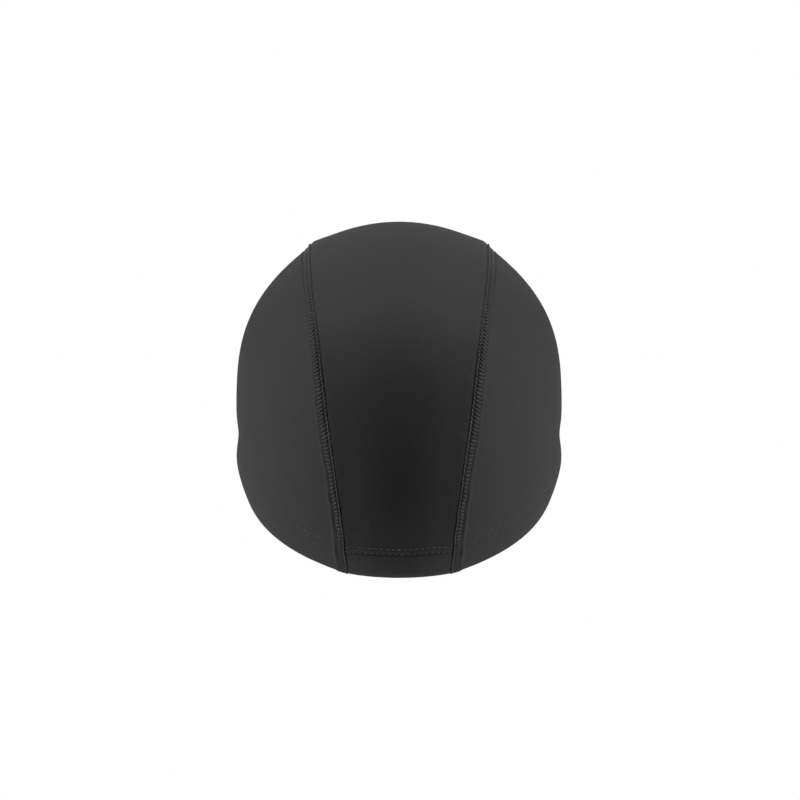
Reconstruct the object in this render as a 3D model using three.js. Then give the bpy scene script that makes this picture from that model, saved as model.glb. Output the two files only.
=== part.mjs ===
// Swim cap of three stretch-cloth panels, in the form that it takes when worn.
// Millimetres. +X is the wearer's right, +Y the wearer's forward, +Z up.
// The origin is the inside top of the crown, where a head holds the cap up.
import * as THREE from "three";

// Cloth
const WALL = 1.2;
const HEM_WALL = 2.4;
const HEM_WIDTH = 15;
const HEM_STEP = 1.2;

// Seam bands between the panels
const SEAM_WIDTH = 5.4;
const SEAM_PROUD = 0.4;
const SEAM_INSIDE = 0.2;
const GAP = 0.3;

// Form: each angle is measured in side view round the middle of the head, 0 forward, 90 up, 180 back.
// The columns are control values of a smooth closed curve: the radius of the middle line,
// how far the seam lies inside that radius, half the width between the seams, how far the middle's
// edge rolls down, and how full the side is (a higher power gives a fuller side).
// The rows from 240 on lie below the hem and only guide the side panels.
const FORM_STEP = 30;
const FORM = [
  { angle: 0, middle: 102.8, fall: 9.3, half: 37.8, roll: 1, full: 2.63 },
  { angle: 30, middle: 99.5, fall: 9.3, half: 41.3, roll: 1, full: 2.63 },
  { angle: 60, middle: 92.0, fall: 10.3, half: 43.8, roll: 1, full: 2.63 },
  { angle: 90, middle: 88.2, fall: 14.0, half: 44.3, roll: 3.1, full: 3.05 },
  { angle: 120, middle: 90.2, fall: 10.7, half: 44.6, roll: 1, full: 2.63 },
  { angle: 150, middle: 92.2, fall: 8.8, half: 40.6, roll: 1, full: 2.63 },
  { angle: 180, middle: 90.8, fall: 7.3, half: 33.6, roll: 1, full: 2.63 },
  { angle: 210, middle: 102.8, fall: 5.9, half: 26.4, roll: 1, full: 2.63 },
  { angle: 240, middle: 121.0, fall: 5.3, half: 23.6, roll: 1, full: 2.63 },
  { angle: 270, middle: 112.0, fall: 8.0, half: 30.0, roll: 1, full: 2.63 },
  { angle: 300, middle: 105.3, fall: 9.0, half: 34.0, roll: 1, full: 2.63 },
  { angle: 330, middle: 104.0, fall: 9.0, half: 36.0, roll: 1, full: 2.63 },
];
const HALF_BREADTH = 79.1;

// Section of the middle panel: it bends up to this share of its half width, then runs straight,
// and rolls over beside the seam.
const BEND_SHARE = 0.66;
const ROLL_WIDTH = 4;
const ROLL_COSINE = 0.77;

// The crease beside the seam band lies on that rolled edge over the crown, and further down it moves
// out to the line where the middle and the side meet. It lies fully on the rolled edge up to
// CREASE_FULL degrees either way from CREASE_TOP, and not at all from CREASE_NONE degrees on.
const CREASE_SHIFT = 2.2;
const CREASE_TOP = 85;
const CREASE_FULL = 65;
const CREASE_NONE = 105;

// Hem in side view, measured from the middle of the head: control points of a smooth curve.
const HEM_STEP_Y = 30;
const HEM_START_Y = -150;
const HEM_HEIGHTS = [-107, -94.0, -79.6, -68.8, -52.5, -34.8, -17.8, -2, 11, 23, 35];

// Soft bumps of the ear under the cloth, and the crease over it: middle, reach and height.
const EAR = [
  { y: -6, z: -29, reachY: 20, reachZ: 11, height: 0.9 },
  { y: -4, z: -13, reachY: 22, reachZ: 6, height: -0.7 },
];

// Mesh
const ROWS_ALONG = 44;
const ROWS_UP = 15;
const ACROSS = [-1, -0.96, -0.91, -0.8, -0.6, -0.3, 0, 0.3, 0.6, 0.8, 0.91, 0.96, 1];
const BAND_COLUMNS = [0, 0.35, 1];
const SEAM_LENGTH = 330;
const SHORTEST_COLUMN = 3 * HEM_WIDTH;
const SEARCH_STEPS = 50;
const NORMAL_STEP = 0.05;
const ACROSS_STEP = 0.005;

// Angles that surely lie below and above the hem, in front and at the back.
const FRONT_SEARCH = { below: -25, above: 60 };
const BACK_SEARCH = { below: 250, above: 170 };

const PANEL_COLOUR = 0x3b3b3d;
const SEAM_COLOUR = 0x343436;

const radians = THREE.MathUtils.degToRad;
const mix = THREE.MathUtils.lerp;

// A smooth curve near four neighbouring control values, t from 0 to 1 between the middle two.
function smoothCurve(before, first, second, after, t) {
  const a = (1 - t) ** 3;
  const b = 3 * t ** 3 - 6 * t ** 2 + 4;
  const c = -3 * t ** 3 + 3 * t ** 2 + 3 * t + 1;
  return (a * before + b * first + c * second + t ** 3 * after) / 6;
}

function formValue(angle, column) {
  const place = angle / FORM_STEP + FORM.length;
  const row = Math.floor(place);
  const at = (i) => FORM[(row + i) % FORM.length][column];
  return smoothCurve(at(-1), at(0), at(1), at(2), place - row);
}

function hemHeight(y) {
  const place = (y - HEM_START_Y) / HEM_STEP_Y;
  const row = Math.floor(place);
  const at = (i) => HEM_HEIGHTS[row + i];
  return smoothCurve(at(-1), at(0), at(1), at(2), place - row);
}

function sideRadius(angle) {
  return formValue(angle, "middle") - formValue(angle, "fall");
}

// Outer face of the middle panel; across runs from -1 at the left seam to 1 at the right one.
function middlePoint(angle, across) {
  const half = formValue(angle, "half");
  const share = Math.abs(across);
  const bend =
    share < BEND_SHARE
      ? share ** 2 / (BEND_SHARE * (2 - BEND_SHARE))
      : (2 * share - BEND_SHARE) / (2 - BEND_SHARE);
  const roll = Math.max(0, 1 - ((1 - share) * half) / ROLL_WIDTH) ** 2;
  const rolled = formValue(angle, "roll");
  const drop = (formValue(angle, "fall") - rolled) * bend + rolled * roll;
  const radius = formValue(angle, "middle") - drop;
  const turn = radians(angle);
  return new THREE.Vector3(across * half, radius * Math.cos(turn), radius * Math.sin(turn));
}

// Outer face of the right side, as its distance out at a place in side view.
function sideOut(y, z) {
  const angle = (THREE.MathUtils.radToDeg(Math.atan2(z, y)) + 360) % 360;
  const half = formValue(angle, "half");
  const share = Math.hypot(y, z) / sideRadius(angle);
  let out = half + (HALF_BREADTH - half) * (1 - share ** formValue(angle, "full"));
  for (const bump of EAR) {
    const far = ((y - bump.y) / bump.reachY) ** 2 + ((z - bump.z) / bump.reachZ) ** 2;
    out += bump.height * Math.exp(-far);
  }
  return out;
}

// Outer face beside the right seam, at a distance from the seam line measured along the cloth.
function besideSeam(angle, distance) {
  const seam = sideRadius(angle);
  const outward = HALF_BREADTH - formValue(angle, "half");
  const steepness = (outward * formValue(angle, "full")) / seam;
  const radius = seam - distance / Math.hypot(1, steepness);
  const y = radius * Math.cos(radians(angle));
  const z = radius * Math.sin(radians(angle));
  return new THREE.Vector3(sideOut(y, z), y, z);
}

function creaseShift(angle) {
  const share = THREE.MathUtils.smoothstep(Math.abs(angle - CREASE_TOP), CREASE_FULL, CREASE_NONE);
  return CREASE_SHIFT * (1 - share);
}

// Half the width of the middle panel up to the crease.
function creaseHalf(angle) {
  return formValue(angle, "half") - creaseShift(angle) * ROLL_COSINE;
}

// Outer face beside the right crease, at a distance from it along the cloth.
function besideCrease(angle, distance) {
  const beyond = distance - creaseShift(angle);
  if (beyond >= 0) return besideSeam(angle, beyond);
  return middlePoint(angle, 1 + (beyond * ROLL_COSINE) / formValue(angle, "half"));
}

function sideNormal(y, z) {
  const slopeY = (sideOut(y + NORMAL_STEP, z) - sideOut(y - NORMAL_STEP, z)) / (2 * NORMAL_STEP);
  const slopeZ = (sideOut(y, z + NORMAL_STEP) - sideOut(y, z - NORMAL_STEP)) / (2 * NORMAL_STEP);
  return new THREE.Vector3(1, -slopeY, -slopeZ).normalize();
}

function middleNormal(angle, across) {
  const low = Math.max(across - ACROSS_STEP, -1);
  const high = Math.min(across + ACROSS_STEP, 1);
  const along = middlePoint(angle + NORMAL_STEP, across).sub(middlePoint(angle - NORMAL_STEP, across));
  const over = middlePoint(angle, high).sub(middlePoint(angle, low));
  return along.cross(over).normalize();
}

// Height above the hem measured along the cloth, good near the hem.
function aboveHem(point, normal) {
  const slope = (hemHeight(point.y + 1) - hemHeight(point.y - 1)) / 2;
  const rise = new THREE.Vector3(0, -slope, 1);
  const alongCloth = rise.addScaledVector(normal, -rise.dot(normal)).length();
  return (point.z - hemHeight(point.y)) / alongCloth;
}

function wallAt(point, normal) {
  const past = (aboveHem(point, normal) - (HEM_WIDTH - HEM_STEP)) / HEM_STEP;
  return mix(HEM_WALL, WALL, THREE.MathUtils.clamp(past, 0, 1));
}

// The angle at which a line over the cap meets the hem.
function hemAngle(pointAt, search) {
  let { below, above } = search;
  for (let i = 0; i < SEARCH_STEPS; i += 1) {
    const trial = (below + above) / 2;
    const point = pointAt(trial);
    if (point.z < hemHeight(point.y)) below = trial;
    else above = trial;
  }
  return (below + above) / 2;
}

function hemAngles(pointAt) {
  return { front: hemAngle(pointAt, FRONT_SEARCH), back: hemAngle(pointAt, BACK_SEARCH) };
}

// Shares of the way from hem to hem, with rows at both edges of each turned-up hem.
function sharesAlong(length) {
  const ends = [0, (HEM_WIDTH - HEM_STEP) / length, HEM_WIDTH / length];
  const shares = [...ends];
  const inner = ROWS_ALONG - 2 * ends.length;
  for (let i = 1; i <= inner; i += 1) {
    shares.push(mix(ends[2], 1 - ends[2], i / (inner + 1)));
  }
  return [...shares, ...ends.reverse().map((share) => 1 - share)];
}

const ALONG = sharesAlong(SEAM_LENGTH);

// A closed wall from two matching grids of points, its outer and its inner face.
function solidWall(name, outer, inner, colour, mirrored) {
  const positions = [];
  const numbers = new Map();
  const numberOf = (point) => {
    const key = [point.x, point.y, point.z].map((v) => v.toFixed(5)).join();
    if (!numbers.has(key)) {
      numbers.set(key, numbers.size);
      positions.push(mirrored ? -point.x : point.x, point.y, point.z);
    }
    return numbers.get(key);
  };
  const triangles = [];
  const addTriangle = (a, b, c) => {
    if (a === b || b === c || c === a) return;
    triangles.push(...(mirrored ? [a, c, b] : [a, b, c]));
  };
  const addQuad = (a, b, c, d) => {
    addTriangle(a, b, c);
    addTriangle(a, c, d);
  };
  const out = outer.map((line) => line.map(numberOf));
  const into = inner.map((line) => line.map(numberOf));
  const lastRow = out.length - 1;
  const lastColumn = out[0].length - 1;
  for (let i = 0; i < lastRow; i += 1) {
    for (let j = 0; j < lastColumn; j += 1) {
      addQuad(out[i][j], out[i + 1][j], out[i + 1][j + 1], out[i][j + 1]);
      addQuad(into[i][j], into[i][j + 1], into[i + 1][j + 1], into[i + 1][j]);
    }
    addQuad(out[i][0], into[i][0], into[i + 1][0], out[i + 1][0]);
    addQuad(out[i][lastColumn], out[i + 1][lastColumn], into[i + 1][lastColumn], into[i][lastColumn]);
  }
  for (let j = 0; j < lastColumn; j += 1) {
    addQuad(out[0][j], out[0][j + 1], into[0][j + 1], into[0][j]);
    addQuad(out[lastRow][j], into[lastRow][j], into[lastRow][j + 1], out[lastRow][j + 1]);
  }
  const geometry = new THREE.BufferGeometry();
  geometry.setAttribute("position", new THREE.Float32BufferAttribute(positions, 3));
  geometry.setIndex(triangles);
  geometry.translate(-seat.x, -seat.y, -seat.z);
  geometry.computeVertexNormals();
  const mesh = new THREE.Mesh(geometry, new THREE.MeshStandardMaterial({ color: colour, roughness: 0.8 }));
  mesh.name = name;
  return mesh;
}

function creaseNormal(angle, distance) {
  const point = besideCrease(angle, distance);
  if (distance >= creaseShift(angle)) return sideNormal(point.y, point.z);
  return middleNormal(angle, point.x / formValue(angle, "half"));
}

// The wall's direction at the crease, shared by the two edges that meet there.
function creaseDirection(angle) {
  const across = creaseHalf(angle) / formValue(angle, "half");
  return creaseNormal(angle, 0).add(middleNormal(angle, across)).normalize();
}

function middlePanel(colour) {
  const outer = [];
  const inner = [];
  for (const share of ALONG) {
    const outerRow = [];
    const innerRow = [];
    for (const place of ACROSS) {
      const edge = Math.abs(place) === 1;
      const pointAt = (angle) => {
        const half = formValue(angle, "half");
        return middlePoint(angle, (place * (creaseHalf(angle) - GAP / 2)) / half);
      };
      const ends = hemAngles(pointAt);
      const angle = mix(ends.front, ends.back, share);
      const point = pointAt(angle);
      const normal = middleNormal(angle, point.x / formValue(angle, "half"));
      const direction = edge ? creaseDirection(angle) : normal.clone();
      if (place === -1) direction.x *= -1;
      outerRow.push(point);
      innerRow.push(point.clone().addScaledVector(direction, -wallAt(point, normal)));
    }
    outer.push(outerRow);
    inner.push(innerRow);
  }
  return solidWall("centre_panel", outer, inner, colour, false);
}

function seamBand(name, colour, mirrored) {
  const outer = [];
  const inner = [];
  for (const share of ALONG) {
    const outerRow = [];
    const innerRow = [];
    for (const column of BAND_COLUMNS) {
      const distance = GAP / 2 + column * SEAM_WIDTH;
      const pointAt = (angle) => besideCrease(angle, distance);
      const ends = hemAngles(pointAt);
      const angle = mix(ends.front, ends.back, share);
      const point = pointAt(angle);
      const normal = creaseNormal(angle, distance);
      const direction = column === 0 ? creaseDirection(angle) : normal;
      const depth = wallAt(point, normal) + SEAM_INSIDE;
      outerRow.push(point.clone().addScaledVector(direction, SEAM_PROUD));
      innerRow.push(point.clone().addScaledVector(direction, -depth));
    }
    outer.push(outerRow);
    inner.push(innerRow);
  }
  return solidWall(name, outer, inner, colour, mirrored);
}

function sidePanel(name, colour, mirrored) {
  const pointAt = (angle) => besideCrease(angle, GAP / 2 + SEAM_WIDTH + GAP);
  const ends = hemAngles(pointAt);
  const frontTip = pointAt(ends.front);
  const backTip = pointAt(ends.back);
  const outer = [];
  const inner = [];
  for (const share of ALONG) {
    const top = pointAt(mix(ends.front, ends.back, share));
    const hemY = mix(frontTip.y, backTip.y, share);
    const low = { y: hemY, z: hemHeight(hemY) };
    const length = Math.max(Math.hypot(top.y - low.y, top.z - low.z), SHORTEST_COLUMN);
    const outerRow = [];
    const innerRow = [];
    for (let row = 0; row < ROWS_UP; row += 1) {
      const hemShare = HEM_WIDTH / length;
      const stepShare = (HEM_WIDTH - HEM_STEP) / length;
      const open = mix(hemShare, 1, (row - 2) / (ROWS_UP - 3));
      const up = row === 0 ? 0 : row === 1 ? stepShare : open;
      const y = mix(low.y, top.y, up);
      const z = mix(low.z, top.z, up);
      const point = new THREE.Vector3(sideOut(y, z), y, z);
      const normal = sideNormal(y, z);
      outerRow.push(point);
      innerRow.push(point.clone().addScaledVector(normal, -wallAt(point, normal)));
    }
    outer.push(outerRow.reverse());
    inner.push(innerRow.reverse());
  }
  return solidWall(name, outer, inner, colour, mirrored);
}

const seat = middlePoint(90, 0).addScaledVector(middleNormal(90, 0), -WALL);

const group = new THREE.Group();
group.name = "swim_cap";
group.add(middlePanel(PANEL_COLOUR));
group.add(sidePanel("right_side_panel", PANEL_COLOUR, false));
group.add(sidePanel("left_side_panel", PANEL_COLOUR, true));
group.add(seamBand("right_seam", SEAM_COLOUR, false));
group.add(seamBand("left_seam", SEAM_COLOUR, true));

export default group;
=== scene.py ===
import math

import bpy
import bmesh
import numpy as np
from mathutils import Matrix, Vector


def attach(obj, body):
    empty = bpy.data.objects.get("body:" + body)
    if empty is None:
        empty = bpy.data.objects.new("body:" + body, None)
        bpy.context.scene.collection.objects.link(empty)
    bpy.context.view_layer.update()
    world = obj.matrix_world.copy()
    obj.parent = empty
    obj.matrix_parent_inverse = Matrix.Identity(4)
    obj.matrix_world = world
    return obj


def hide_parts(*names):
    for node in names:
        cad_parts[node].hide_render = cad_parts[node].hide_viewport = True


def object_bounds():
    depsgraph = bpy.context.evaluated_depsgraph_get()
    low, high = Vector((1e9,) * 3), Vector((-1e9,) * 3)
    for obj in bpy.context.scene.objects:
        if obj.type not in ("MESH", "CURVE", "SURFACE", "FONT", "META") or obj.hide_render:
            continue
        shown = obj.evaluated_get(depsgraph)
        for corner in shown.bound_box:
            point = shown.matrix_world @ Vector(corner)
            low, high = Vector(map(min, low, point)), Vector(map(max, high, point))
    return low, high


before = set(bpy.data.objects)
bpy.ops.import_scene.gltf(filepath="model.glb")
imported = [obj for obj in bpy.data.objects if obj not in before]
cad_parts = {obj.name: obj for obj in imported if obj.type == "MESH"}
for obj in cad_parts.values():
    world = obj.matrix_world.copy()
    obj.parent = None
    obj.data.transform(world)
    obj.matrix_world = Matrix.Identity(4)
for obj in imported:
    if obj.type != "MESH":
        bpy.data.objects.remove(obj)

# %% [markdown]
# # A swim cap of stretch cloth
#
# The real cap is three cloth panels: a strip that runs from the forehead over the crown to the nape,
# and a panel over each ear. Flat raised seams join them, and the lower edge is turned up inside and
# held by two rows of stitches. It is shown as it sits when worn, seen level from behind.
#
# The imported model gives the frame: the origin is the inside top of the crown, +X the wearer's right,
# +Y the wearer's forward. This script dresses it, so each cloth piece below takes the place of one
# plain solid and keeps to its form.

MM = 0.001
cad_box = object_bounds()
print("packed model, mm:", [[round(v / MM, 1) for v in corner] for corner in cad_box])

# %% [markdown]
# ## The camera
#
# The photograph looks at the back of the cap, almost level. A long lens from about two metres keeps
# the nape and the crown at their true proportions. The lens follows from two sizes: how much of the
# world the picture must be wide, and how far away the camera stands.

# %% Camera
VIEW_ELEVATION = math.radians(4)
VIEW_DISTANCE = 2.1
PICTURE_WIDTH = 0.3905
SENSOR_WIDTH = 36.0
AIM_ABOVE_MIDDLE = -0.0043
PICTURE_SHIFT = 0.0012


def add_camera():
    data = bpy.data.cameras.new("camera")
    data.sensor_width = SENSOR_WIDTH
    data.lens = SENSOR_WIDTH * VIEW_DISTANCE / PICTURE_WIDTH
    data.clip_start = 0.05
    data.clip_end = 60
    data.shift_x = PICTURE_SHIFT
    camera = bpy.data.objects.new("camera", data)
    bpy.context.scene.collection.objects.link(camera)
    back = Vector((0, -math.cos(VIEW_ELEVATION), math.sin(VIEW_ELEVATION)))
    up = Vector((0, math.sin(VIEW_ELEVATION), math.cos(VIEW_ELEVATION)))
    middle = (cad_box[0] + cad_box[1]) / 2
    camera.location = middle + up * AIM_ABOVE_MIDDLE + back * VIEW_DISTANCE
    camera.rotation_mode = "QUATERNION"
    camera.rotation_quaternion = back.to_track_quat("Z", "Y")
    bpy.context.scene.camera = camera
    return camera


camera = add_camera()
print("lens, mm:", round(camera.data.lens, 1))

# %% [markdown]
# ## The form of the cap
#
# A worn cap takes the form of a head. Three functions describe it here, in millimetres round the
# middle of the head: how far out the middle line, the seams and the sides lie. A short table holds
# control values every 30 degrees in side view, and a smooth B-spline passes near them. The same
# functions shape the plain solids. Fine cloth can show a little more than they do, so the cloth
# differs from them by about a millimetre in places: the nape is fuller, the crease wanders, the
# seam is wider where the head turns down to the nape, and the hem sags.

# %% Form table
FORM_STEP = 30.0
MIDDLE_RADIUS = np.array([102.8, 99.5, 92.0, 88.2, 90.2, 92.2, 90.8, 102.8, 121.0, 112.0, 105.3, 104.0])
SEAM_FALL = np.array([9.3, 9.3, 10.3, 14.0, 10.7, 8.8, 7.3, 5.9, 5.3, 8.0, 9.0, 9.0])
SEAM_HALF = np.array([37.8, 41.3, 43.8, 44.3, 44.6, 40.6, 33.6, 26.4, 23.6, 30.0, 34.0, 36.0])
ROLL_DROP = np.array([1, 1, 1, 3.1, 1, 0.8, 0.1, 0.1, 0, 0.6, 1, 1.0])
SIDE_FULLNESS = np.array([2.63, 2.63, 2.63, 3.05, 2.63, 2.63, 2.63, 2.63, 2.63, 2.63, 2.63, 2.63])
HALF_BREADTH = 79.1
BEND_SHARE = 0.66
ROLL_WIDTH = 4.0
ROLL_COSINE = 0.77
CREASE_SHIFT = 2.2
CREASE_TOP = 85.0
CREASE_FULL = 65.0
CREASE_NONE = 105.0
WIDENING = {"by": 0.16, "at": 98.0, "reach": 14.0}
CREASE_WANDER = [
    {"angle": 207.0, "reach": 3.0, "shift": 0.5},
    {"angle": 214.0, "reach": 3.5, "shift": 0.9},
    {"angle": 223.0, "reach": 4.5, "shift": 1.4},
]
NAPE_FILL = {"angle": 227.0, "reach": 9.0, "height": 1.1}
HEM_STEP_Y = 30.0
HEM_START_Y = -150.0
HEM_HEIGHTS = np.array([-107, -94.0, -79.6, -68.8, -52.5, -34.8, -17.8, -2, 11, 23, 35.0])
EAR_BUMPS = [
    {"y": -6, "z": -29, "reach_y": 20, "reach_z": 11, "height": 1.1},
    {"y": -4, "z": -13, "reach_y": 22, "reach_z": 6, "height": -1.0},
]
WALL = 1.2
HEM_WALL = 2.4
HEM_WIDTH = 15.0
HEM_LOWER = 0.5
HEM_SAGS = [
    {"y": -30, "reach": 30, "depth": 0.9},
    {"y": -84, "reach": 6, "depth": -1.3},
]
GAP = 0.3
SEAM_WIDTH = 5.4
BAND_EDGE = GAP / 2 + SEAM_WIDTH


def smooth_curve(values, place, closed):
    """The B-spline of evenly spaced control values at a place counted in steps."""
    row = np.floor(place).astype(int)
    t = place - row
    pick = [row - 1, row, row + 1, row + 2]
    if closed:
        a, b, c, d = [values[i % len(values)] for i in pick]
    else:
        a, b, c, d = [values[np.clip(i, 0, len(values) - 1)] for i in pick]
    return (
        (1 - t) ** 3 * a
        + (3 * t**3 - 6 * t**2 + 4) * b
        + (-3 * t**3 + 3 * t**2 + 3 * t + 1) * c
        + t**3 * d
    ) / 6


def form_value(values, angle):
    return smooth_curve(values, np.asarray(angle, float) / FORM_STEP, True)


def bell(distance, width):
    """1 in the middle, falling off smoothly to both sides."""
    return np.exp(-((distance / width) ** 2))


def hem_height(y):
    y = np.asarray(y, float)
    height = smooth_curve(HEM_HEIGHTS, (y - HEM_START_Y) / HEM_STEP_Y, False) - HEM_LOWER
    for sag in HEM_SAGS:
        height = height - sag["depth"] * bell(y - sag["y"], sag["reach"])
    return height


def side_radius(angle):
    return form_value(MIDDLE_RADIUS, angle) - form_value(SEAM_FALL, angle)


print("radius over the crown, mm:", round(float(form_value(MIDDLE_RADIUS, 90)), 2))

# %% Outer faces of the middle and of the sides
def middle_point(angle, x):
    """Outer face of the middle panel, at a side-view angle and a distance from the middle line."""
    half = form_value(SEAM_HALF, angle)
    share = np.abs(x) / half
    bend = np.where(
        share < BEND_SHARE,
        share**2 / (BEND_SHARE * (2 - BEND_SHARE)),
        (2 * share - BEND_SHARE) / (2 - BEND_SHARE),
    )
    roll = np.maximum(0, 1 - (1 - share) * half / ROLL_WIDTH) ** 2
    rolled = form_value(ROLL_DROP, angle)
    drop = (form_value(SEAM_FALL, angle) - rolled) * bend + rolled * roll
    radius = form_value(MIDDLE_RADIUS, angle) - drop
    fill = NAPE_FILL["height"] * bell(angle - NAPE_FILL["angle"], NAPE_FILL["reach"])
    radius = radius + fill * (1 - np.minimum(share, 1) ** 3)
    turn = np.radians(angle)
    return np.stack([x + 0 * radius, radius * np.cos(turn), radius * np.sin(turn)], -1)


def angle_of(y, z):
    """Side-view angle of a place, from the forehead up over the crown."""
    return np.degrees(np.arctan2(z, y)) % 360


def side_out(y, z):
    """How far out the right side lies at a place in side view."""
    angle = angle_of(y, z)
    half = form_value(SEAM_HALF, angle)
    share = np.hypot(y, z) / side_radius(angle)
    out = half + (HALF_BREADTH - half) * (1 - share ** form_value(SIDE_FULLNESS, angle))
    for bump in EAR_BUMPS:
        share = bell(y - bump["y"], bump["reach_y"]) * bell(z - bump["z"], bump["reach_z"])
        out = out + bump["height"] * share
    return out


def side_point(y, z):
    return np.stack([side_out(y, z), y + 0 * z, z + 0 * y], -1)


def side_steepness(angle):
    """How fast the side panel goes out beside the seam, for each step towards its middle."""
    outward = HALF_BREADTH - form_value(SEAM_HALF, angle)
    return outward * form_value(SIDE_FULLNESS, angle) / side_radius(angle)


def beside_seam(angle, distance):
    """Outer face beside the right seam, at a distance from the seam line along the cloth."""
    seam = side_radius(angle)
    radius = seam - distance / np.hypot(1, side_steepness(angle))
    turn = np.radians(angle)
    return side_point(radius * np.cos(turn), radius * np.sin(turn))


def from_seam(y, z):
    """Distance from the seam line along the cloth, for a place on the right side."""
    angle = angle_of(y, z)
    return (side_radius(angle) - np.hypot(y, z)) * np.hypot(1, side_steepness(angle))


STEP = 0.02


def unit(vectors):
    return vectors / np.linalg.norm(vectors, axis=-1, keepdims=True)


def side_normal(y, z):
    slope_y = (side_out(y + STEP, z) - side_out(y - STEP, z)) / (2 * STEP)
    slope_z = (side_out(y, z + STEP) - side_out(y, z - STEP)) / (2 * STEP)
    return unit(np.stack([np.ones_like(slope_y), -slope_y, -slope_z], -1))


def middle_normal(angle, x):
    along = middle_point(angle + STEP, x) - middle_point(angle - STEP, x)
    over = middle_point(angle, x + STEP) - middle_point(angle, x - STEP)
    return unit(np.cross(along, over))


def above_hem(point, normal):
    """Height above the hem along the cloth, good near the hem."""
    slope = (hem_height(point[..., 1] + 1) - hem_height(point[..., 1] - 1)) / 2
    rise = np.stack([np.zeros_like(slope), -slope, np.ones_like(slope)], -1)
    tangent = rise - normal * np.sum(rise * normal, -1, keepdims=True)
    return (point[..., 2] - hem_height(point[..., 1])) / np.linalg.norm(tangent, axis=-1)


def smooth_step(value, low, high):
    share = np.clip((value - low) / (high - low), 0, 1)
    return share * share * (3 - 2 * share)


def crease_shift(angle):
    """How far the crease lies on the middle's rolled edge, inside the line where the forms meet."""
    shift = CREASE_SHIFT * (1 - smooth_step(np.abs(angle - CREASE_TOP), CREASE_FULL, CREASE_NONE))
    for bend in CREASE_WANDER:
        shift = shift + bend["shift"] * bell(angle - bend["angle"], bend["reach"])
    return shift


def widened(angle):
    """How many times wider the seam lies where the head turns down to the nape."""
    beyond = np.abs(angle - CREASE_TOP) - WIDENING["at"]
    return 1 + WIDENING["by"] * bell(beyond, WIDENING["reach"])


def beside_crease(angle, distance):
    """Outer face and its normal beside the right crease, at a distance from it along the cloth."""
    angle, distance = np.broadcast_arrays(np.asarray(angle, float), distance)
    beyond = distance - crease_shift(angle)
    side = beside_seam(angle, np.maximum(beyond, 0))
    x = form_value(SEAM_HALF, angle) + np.minimum(beyond, -STEP) * ROLL_COSINE
    on_side = (beyond >= 0)[..., None]
    point = np.where(on_side, side, middle_point(angle, x))
    normal = np.where(on_side, side_normal(side[..., 1], side[..., 2]), middle_normal(angle, x))
    return point, normal


def from_crease(y, z):
    return from_seam(y, z) + crease_shift(angle_of(y, z))


def from_band(y, z):
    """Distance from the outer edge of the seam band, towards the middle of the side panel."""
    return from_crease(y, z) - BAND_EDGE * widened(angle_of(y, z))


seat = middle_point(np.array(90.0), np.array(0.0)) - WALL * middle_normal(np.array(90.0), np.array(0.0))
print("middle of the head below the origin, mm:", round(float(seat[2]), 2))

# %% [markdown]
# ## Where the cloth ends
#
# Each line over the cap is cut where it meets the hem curve. That angle has no formula, so it is
# found by halving a bracket many times, for all lines at once.

# %% Hem search
FRONT_BRACKET = (-25.0, 60.0)
BACK_BRACKET = (250.0, 170.0)
HALVINGS = 46
SAMPLES = 420


def find_angle(height_at, bracket, count, target=0.0):
    """The angle on each line where a height reaches the target, between two angles round it."""
    low = np.full(count, bracket[0])
    high = np.full(count, bracket[1])
    for _ in range(HALVINGS):
        trial = (low + high) / 2
        below = height_at(trial) < target
        low, high = np.where(below, trial, low), np.where(below, high, trial)
    return (low + high) / 2


def over_hem(points):
    return points[..., 2] - hem_height(points[..., 1])


def hem_to_hem(line_at, count, target=0.0, samples=SAMPLES):
    """Even rows of angles on lines over the cap, from the front hem to the hem at the back."""
    height_at = lambda angle: over_hem(line_at(angle))
    front = find_angle(height_at, FRONT_BRACKET, count, target)
    back = find_angle(height_at, BACK_BRACKET, count, target)
    return front + (back - front) * np.linspace(0, 1, samples)[:, None]


def lengths_along(points):
    """Running length along each line of points; the points run along the first axis."""
    steps = np.linalg.norm(np.diff(points, axis=0), axis=-1)
    return np.concatenate([np.zeros((1,) + steps.shape[1:]), np.cumsum(steps, 0)])


half_at_crown = float(form_value(SEAM_HALF, 90))
print("between the seam lines at the crown, mm:", round(2 * half_at_crown, 1))

# %% [markdown]
# ## Fine relief of sewn cloth
#
# Seen close, a sewn panel is not smooth. Its lower edge is a fold with a round lip, the hem stitches
# sink into a groove, the cloth puckers a little beside a seam, and its edge dips into the ditch that
# the seam leaves. Each of these is a small height added along the surface normal, worked out from the
# distance to the hem and to the seam. Real geometry is used, since light and outline both show it.

# %% Relief helpers
LIP = HEM_WALL / 2
LIP_HEIGHT = 0.9
HEM_ROWS = (12.3, 14.8)
SIDE_HEM_MORE = 1.2
HEM_PUFF = 0.15
HEM_STITCH = 2.75
RAW_EDGE = 0.3
CREASE_OPENS = (60, 98)
CREASE_GAP = {"closed": 0.03, "more": 0.18}
CREASE_RADIUS = {"closed": 0.1, "more": 0.25}


def lip_share(height):
    """0 at the tip of the fold, 1 where the cloth has its full thickness."""
    return np.sqrt(np.clip(1 - np.clip(1 - height / LIP_HEIGHT, 0, 1) ** 2, 0, 1))


def wall_at(height):
    past = np.clip((height - HEM_WIDTH) / RAW_EDGE, 0, 1)
    return HEM_WALL + (WALL - HEM_WALL) * past


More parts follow.
